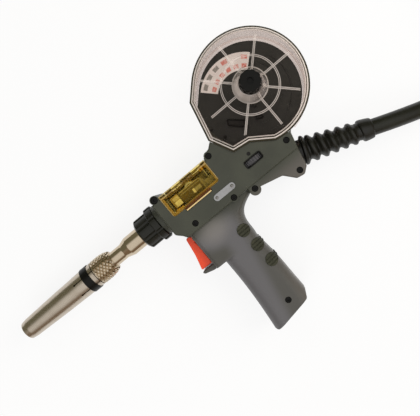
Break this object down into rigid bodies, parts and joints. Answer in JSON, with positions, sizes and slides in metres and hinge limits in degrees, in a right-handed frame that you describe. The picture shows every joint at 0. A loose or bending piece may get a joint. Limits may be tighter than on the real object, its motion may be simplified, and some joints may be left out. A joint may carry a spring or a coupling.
{
  "type": "mig spool gun torch",
  "caption": "Pistol-grip welding torch with its own wire spool, feed rolls and trigger, a straight barrel and gas nozzle, and a cable to a round connector.",
  "frame": {"origin": "on the flat far side that the gun lies on, under the point where the two feed rolls grip the wire", "axes": "+X back along the barrel, from the muzzle towards the cable; +Y from the barrel towards the spool; +Z out of the near side, along the spool's axis"},
  "size_m": [0.9905, 0.2646, 0.0883],
  "materials": {
    "grey_case": "fine moulded texture",
    "black_screw": "black oxide",
    "pad_rubber": "matt",
    "nut_black": "moulded",
    "nozzle_nickel": "nickel plate",
    "band_black": "black",
    "neck_steel": "plated, knurled sleeve",
    "insulator": "moulded",
    "brass": "turned",
    "copper": "turned copper alloy",
    "feed_metal": "cast and machined",
    "steel": "machined",
    "motor_can": "plated",
    "black_plastic": "moulded",
    "amber_window": "clear amber",
    "wheel_black": "moulded",
    "bare_plate": "brushed, bare",
    "trigger_red": "moulded",
    "clear_cover": "clear moulded plastic",
    "knob_black": "moulded",
    "label_paper": "printed paper, no words",
    "cable_rubber": "matt",
    "connector_grip": "moulded"
  },
  "bodies": {
    "frame": {"near_casing": "grey_case", "far_casing": "grey_case", "case_screws": "black_screw", "grip_pads": "pad_rubber", "neck_sleeve": "neck_steel", "neck_tube": "neck_steel", "nozzle_insulator": "insulator", "gas_diffuser": "brass", "neck_liner": "brass", "wire_guides": "brass", "lead_fitting": "brass", "connector_contacts": "brass", "contact_tip": "copper", "feed_plate": "feed_metal", "feed_block": "feed_metal", "arm_keeper": "feed_metal", "feed_plate_screws": "steel", "tension_bolt": "steel", "hinge_pins": "steel", "tension_spring": "steel", "trigger_spring": "steel", "hub_brake": "steel", "spool_post": "steel", "motor": "motor_can", "gearbox": "black_plastic", "trigger_switch": "black_plastic", "speed_potentiometer": "black_plastic", "cable_clamp": "black_plastic", "connector_body": "black_plastic", "wheel_frame": "wheel_black", "side_plate": "bare_plate", "tray_label": "label_paper", "cable_boot": "cable_rubber", "cable_inner": "cable_rubber", "inner_leads": "cable_rubber", "cable_run": "cable_rubber", "cable_coil": "cable_rubber", "cable_tail": "cable_rubber", "connector_relief": "cable_rubber", "connector_handle": "connector_grip"},
    "nozzle": {"gas_nozzle": "nozzle_nickel", "nozzle_band": "band_black"},
    "coupling_nut": {"neck_nut": "nut_black"},
    "drive": {"drive_shaft": "steel", "drive_gear": "steel", "drive_roll": "steel"},
    "arm": {"pressure_arm": "black_plastic", "pressure_axle": "steel"},
    "presser": {"pressure_gear": "steel", "pressure_roll": "steel"},
    "tension": {"tension_nut": "black_plastic"},
    "window": {"feed_window": "amber_window"},
    "cover": {"spool_cover": "clear_cover"},
    "knob": {"cover_knob": "knob_black", "knob_screw": "steel"},
    "hub": {"spool_hub": "black_plastic"},
    "wheel": {"thumb_wheel": "wheel_black"},
    "trigger_lever": {"trigger": "trigger_red"},
    "button": {"switch_button": "trigger_red"},
    "plug_nut": {"connector_nut": "connector_grip"}
  },
  "joints": [
    {"name": "trigger_pull", "type": "hinge", "parent": "frame", "child": "trigger_lever", "pos_m": [-0.027, -0.036, 0.026], "axis": [0, 0, 1], "range_deg": [0, 5], "stiffness_Nm_per_rad": 1.5, "springref_deg": -5.73, "deforming": ["trigger_spring"]},
    {"name": "switch_press", "type": "slide", "parent": "frame", "child": "button", "axis": [1, 0, 0], "range_m": [0, 0.0008]},
    {"name": "window_hinge", "type": "hinge", "parent": "frame", "child": "window", "pos_m": [0, 0.0183, 0.004], "axis": [-1, 0, 0], "range_deg": [0, 90]},
    {"name": "cover_lift", "type": "slide", "parent": "frame", "child": "cover", "axis": [0, 0, 1], "range_m": [0, 0.08]},
    {"name": "knob_turn", "type": "hinge", "parent": "cover", "child": "knob", "pos_m": [0.1092, 0.0436, 0.08], "axis": [0, 0, 1], "continuous": true},
    {"name": "spool_turn", "type": "hinge", "parent": "frame", "child": "hub", "pos_m": [0.1092, 0.0436, 0.03], "axis": [0, 0, 1], "continuous": true},
    {"name": "speed_wheel", "type": "hinge", "parent": "frame", "child": "wheel", "pos_m": [0.067, -0.013, 0.041], "axis": [0, 1, 0], "range_deg": [-135, 135]},
    {"name": "drive_turn", "type": "hinge", "parent": "frame", "child": "drive", "pos_m": [0, -0.0104, 0.026], "axis": [0, 0, 1], "continuous": true},
    {"name": "arm_lift", "type": "hinge", "parent": "frame", "child": "arm", "pos_m": [-0.02, 0.005, 0.035], "axis": [0, 0, 1], "range_deg": [0, 5], "stiffness_Nm_per_rad": 5, "springref_deg": -5.73, "deforming": ["tension_spring"]},
    {"name": "presser_turn", "type": "hinge", "parent": "arm", "child": "presser", "pos_m": [0, 0.0064, 0.026], "axis": [0, 0, 1], "continuous": true},
    {"name": "tension_turn", "type": "hinge", "parent": "frame", "child": "tension", "pos_m": [0.022, 0.0138, 0.035], "axis": [0, 1, 0], "continuous": true},
    {"name": "coupling_turn", "type": "hinge", "parent": "frame", "child": "coupling_nut", "pos_m": [-0.058, 0, 0.026], "axis": [1, 0, 0], "continuous": true},
    {"name": "nozzle_pull", "type": "slide", "parent": "frame", "child": "nozzle", "axis": [-1, 0, 0], "range_m": [0, 0.1]},
    {"name": "plug_nut_turn", "type": "hinge", "parent": "frame", "child": "plug_nut", "pos_m": [0.72013, -0.05975, 0.022], "axis": [0.9455, 0.3256, 0], "continuous": true}
  ],
  "couplings": [
    {"joint": "switch_press", "follows": "trigger_pull", "m_per_rad": 0.009},
    {"joint": "presser_turn", "follows": "drive_turn", "ratio": -1.625}
  ]
}
